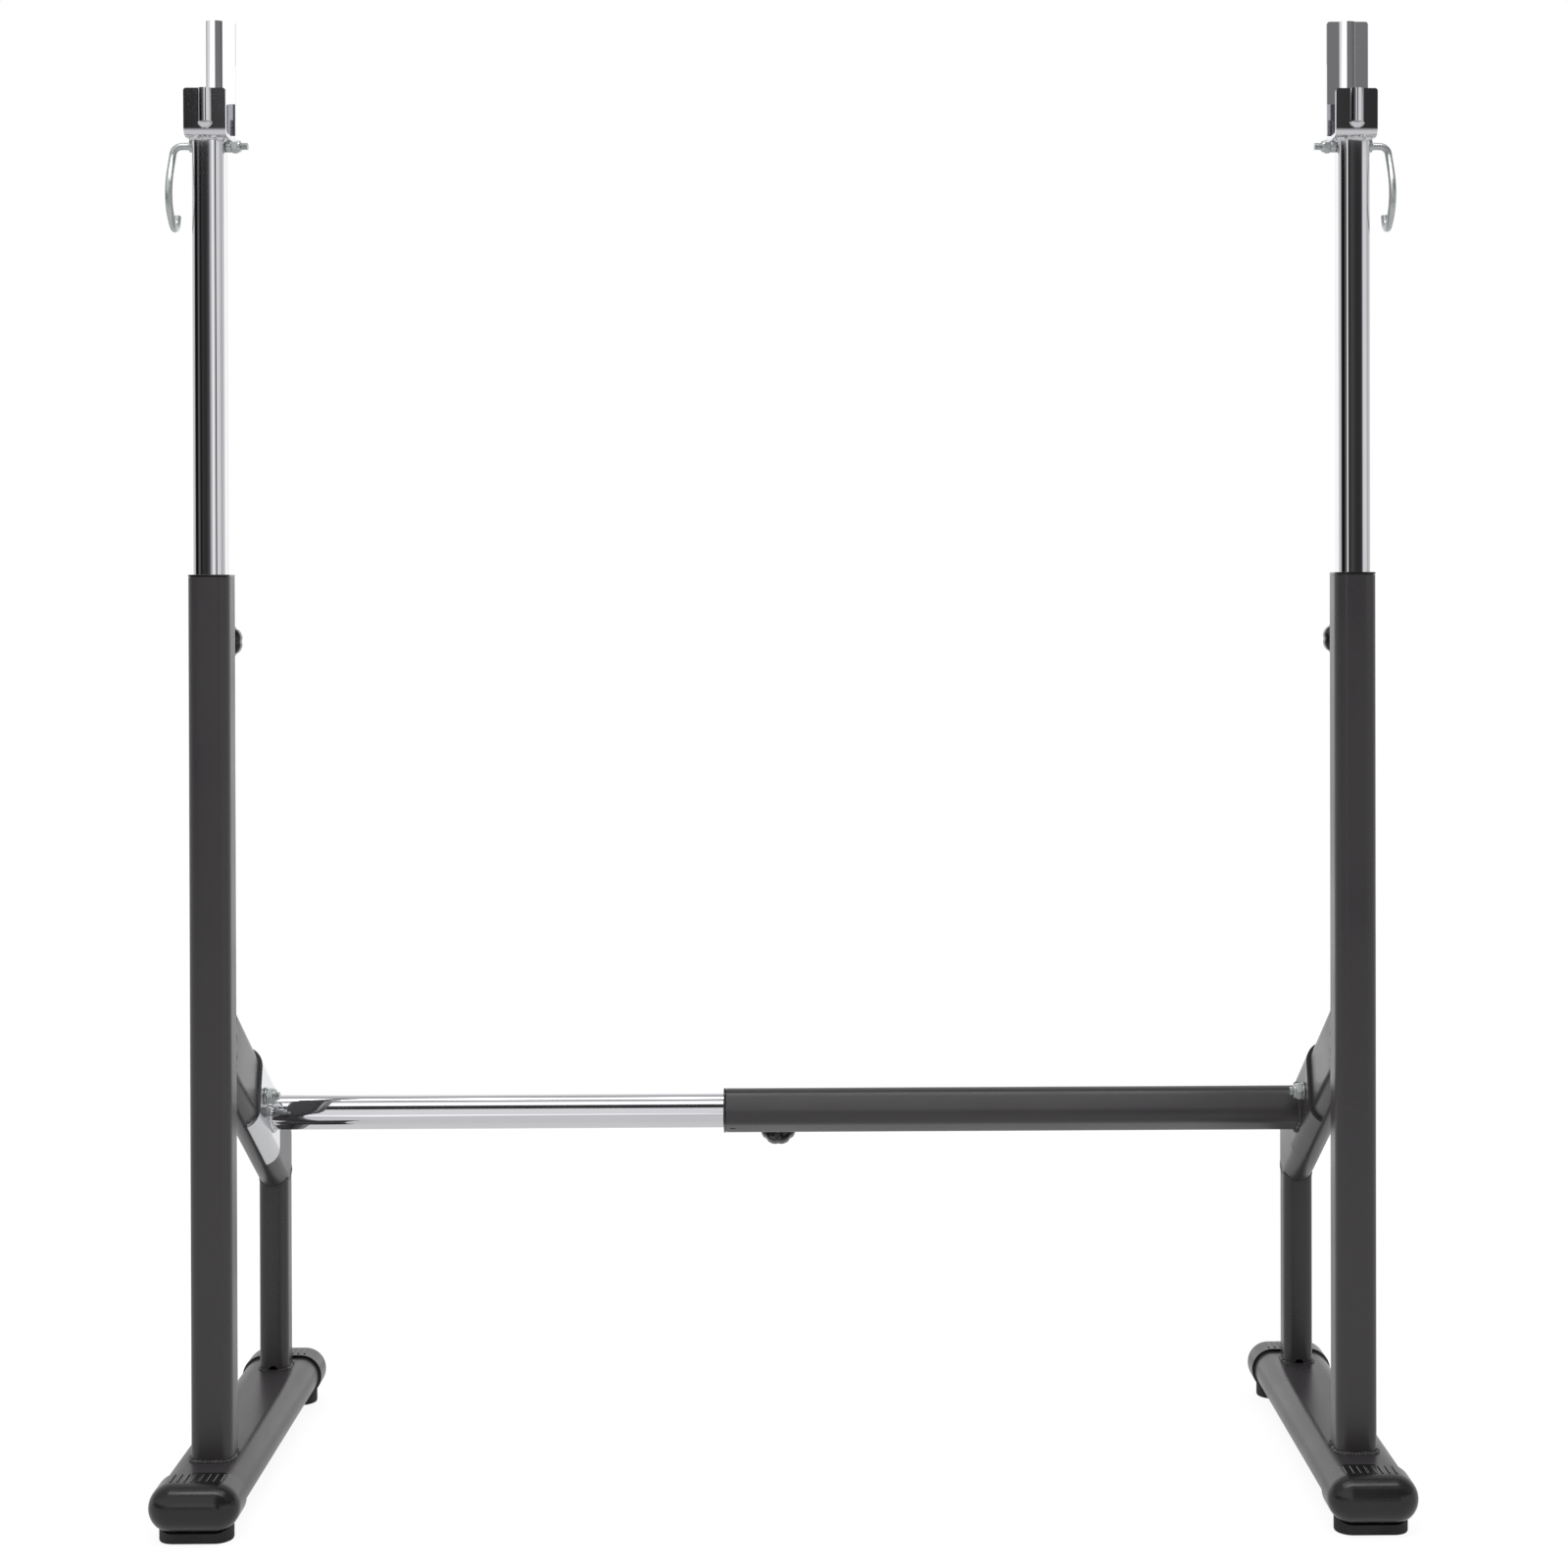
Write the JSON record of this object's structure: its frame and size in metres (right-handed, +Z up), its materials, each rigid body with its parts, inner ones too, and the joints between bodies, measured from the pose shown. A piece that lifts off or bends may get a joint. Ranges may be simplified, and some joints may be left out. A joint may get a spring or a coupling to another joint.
{
  "type": "squat stand",
  "caption": "Pair of height-adjustable squat stands with bar cradles and swing-up retaining hooks, joined by a telescoping crossbar that sets their width.",
  "frame": {"origin": "on the floor, midway between the two stands and between the front and rear ends of their feet", "axes": "+Z up, +X from the left stand to the right one as seen from the front, +Y from the front (the cradles' low side) to the rear"},
  "size_m": [1.3326, 0.5, 1.6149],
  "materials": {
    "painted_steel": "satin powder coat, warm dark grey",
    "chrome_plate": "bright chrome",
    "zinc_plate": "bright zinc plating",
    "black_plastic": "gloss black moulding",
    "cap_plastic": "satin dark grey moulding",
    "rubber": "matt black rubber"
  },
  "bodies": {
    "right_stand": {"right_foot_tube": "painted_steel", "right_front_cap": "cap_plastic", "right_rear_cap": "cap_plastic", "right_front_pad": "rubber", "right_rear_pad": "rubber", "right_upright_tube": "painted_steel", "right_rear_leg": "painted_steel", "right_brace": "painted_steel", "right_upright_bush": "black_plastic", "right_lock_barrel": "painted_steel", "right_bracket": "painted_steel", "right_bracket_bolt": "zinc_plate", "right_bracket_washer": "zinc_plate", "right_bracket_nut": "zinc_plate", "crossbar_outer_tube": "painted_steel", "crossbar_bush": "black_plastic", "width_lock_barrel": "painted_steel"},
    "left_stand": {"left_foot_tube": "painted_steel", "left_front_cap": "cap_plastic", "left_rear_cap": "cap_plastic", "left_front_pad": "rubber", "left_rear_pad": "rubber", "left_upright_tube": "painted_steel", "left_rear_leg": "painted_steel", "left_brace": "painted_steel", "left_upright_bush": "black_plastic", "left_lock_barrel": "painted_steel", "left_bracket": "chrome_plate", "left_bracket_bolt": "zinc_plate", "left_bracket_washer": "zinc_plate", "left_bracket_nut": "zinc_plate", "crossbar_inner_tube": "chrome_plate", "crossbar_plug": "black_plastic"},
    "right_mast": {"right_mast_tube": "chrome_plate", "right_mast_plug": "black_plastic", "right_cradle": "chrome_plate"},
    "left_mast": {"left_mast_tube": "chrome_plate", "left_mast_plug": "black_plastic", "left_cradle": "chrome_plate"},
    "right_bar_hook": {"right_hook": "zinc_plate", "right_hook_collar": "zinc_plate", "right_hook_spacer": "zinc_plate", "right_hook_nut": "zinc_plate"},
    "left_bar_hook": {"left_hook": "zinc_plate", "left_hook_collar": "zinc_plate", "left_hook_spacer": "zinc_plate", "left_hook_nut": "zinc_plate"},
    "right_pull_pin": {"right_lock_pin": "zinc_plate", "right_lock_spring": "zinc_plate", "right_lock_knob": "black_plastic"},
    "left_pull_pin": {"left_lock_pin": "zinc_plate", "left_lock_spring": "zinc_plate", "left_lock_knob": "black_plastic"},
    "width_pull_pin": {"width_lock_pin": "zinc_plate", "width_lock_spring": "zinc_plate", "width_lock_knob": "black_plastic"}
  },
  "joints": [
    {"name": "width_slide", "type": "slide", "parent": "right_stand", "child": "left_stand", "axis": [1, 0, 0], "range_m": [-0.05, 0.25]},
    {"name": "right_mast_slide", "type": "slide", "parent": "right_stand", "child": "right_mast", "axis": [0, 0, 1], "range_m": [-0.45, 0.15]},
    {"name": "left_mast_slide", "type": "slide", "parent": "left_stand", "child": "left_mast", "axis": [0, 0, 1], "range_m": [-0.45, 0.15]},
    {"name": "right_hook_swing", "type": "hinge", "parent": "right_mast", "child": "right_bar_hook", "pos_m": [0.618, -0.14, 1.4746], "axis": [1, 0, 0], "range_deg": [-90, 180]},
    {"name": "left_hook_swing", "type": "hinge", "parent": "left_mast", "child": "left_bar_hook", "pos_m": [-0.618, -0.14, 1.4746], "axis": [1, 0, 0], "range_deg": [-90, 180]},
    {"name": "right_pin_pull", "type": "slide", "parent": "right_stand", "child": "right_pull_pin", "axis": [0, 1, 0], "range_m": [0, 0.01], "stiffness_N_per_m": 1500, "springref_m": -0.01, "deforming": ["right_lock_spring"]},
    {"name": "left_pin_pull", "type": "slide", "parent": "left_stand", "child": "left_pull_pin", "axis": [0, 1, 0], "range_m": [0, 0.01], "stiffness_N_per_m": 1500, "springref_m": -0.01, "deforming": ["left_lock_spring"]},
    {"name": "width_pin_pull", "type": "slide", "parent": "right_stand", "child": "width_pull_pin", "axis": [0, 0.8339, -0.5519], "range_m": [0, 0.01], "stiffness_N_per_m": 1500, "springref_m": -0.01, "deforming": ["width_lock_spring"]}
  ]
}
